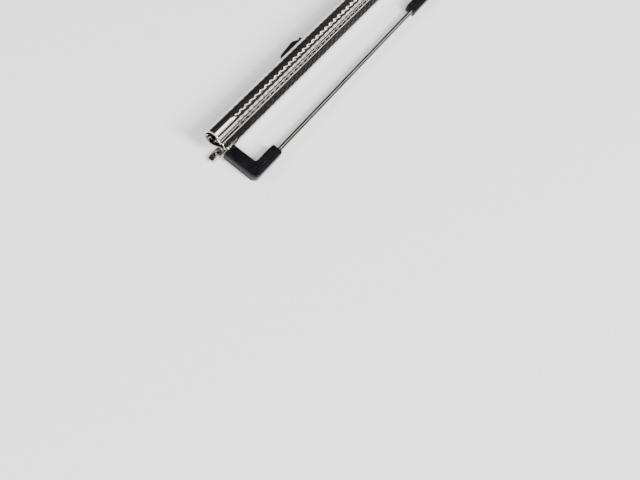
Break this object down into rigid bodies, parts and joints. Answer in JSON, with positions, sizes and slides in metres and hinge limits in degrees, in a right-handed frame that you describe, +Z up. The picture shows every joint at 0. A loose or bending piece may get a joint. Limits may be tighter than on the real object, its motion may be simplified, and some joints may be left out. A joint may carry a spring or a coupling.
{
  "type": "clipboard spring clip",
  "caption": "Long chrome spring clip for a clipboard: rolled embossed jaw on an eared base plate, lifted by a wire bow with plastic corner sleeves, with a fold-out hanger.",
  "frame": {"origin": "midway between the two rivet holes, on the underside of the base plate, which is the board's surface", "axes": "+X along the clip, +Y away from the paper towards the board's top edge, +Z up from the board"},
  "size_m": [0.1258, 0.0253, 0.0088],
  "materials": {
    "jaw_chrome": "bright plated sheet, embossed",
    "base_chrome": "bright plated sheet",
    "bow_chrome": "bright plated drawn wire",
    "rod_steel": "ground",
    "spring_steel": "drawn spring wire",
    "sleeve_plastic": "moulded satin",
    "hanger_black": "satin black"
  },
  "bodies": {
    "base": {"base_plate": "base_chrome", "hinge_rod": "rod_steel", "torsion_spring_left": "spring_steel", "torsion_spring_right": "spring_steel", "hanger_rivet": "rod_steel"},
    "jaw": {"jaw": "jaw_chrome"},
    "bow": {"bow": "bow_chrome", "sleeve_left": "sleeve_plastic", "sleeve_right": "sleeve_plastic"},
    "hanger": {"hanger": "hanger_black"}
  },
  "joints": [
    {"name": "bow_lift", "type": "hinge", "parent": "base", "child": "bow", "pos_m": [0, 0.0008, 0.0056], "axis": [-1, 0, 0], "range_deg": [0, 85]},
    {"name": "jaw_open", "type": "hinge", "parent": "base", "child": "jaw", "pos_m": [0, 0.0008, 0.0056], "axis": [-1, 0, 0], "range_deg": [0, 65], "stiffness_Nm_per_rad": 0.02, "springref_deg": -34.38, "deforming": ["torsion_spring_left", "torsion_spring_right"]},
    {"name": "hanger_swing", "type": "hinge", "parent": "base", "child": "hanger", "pos_m": [0, 0.0022, 0.0006], "axis": [0, 0, -1], "range_deg": [0, 90]}
  ],
  "couplings": [
    {"joint": "jaw_open", "follows": "bow_lift", "ratio": 0.76471}
  ]
}
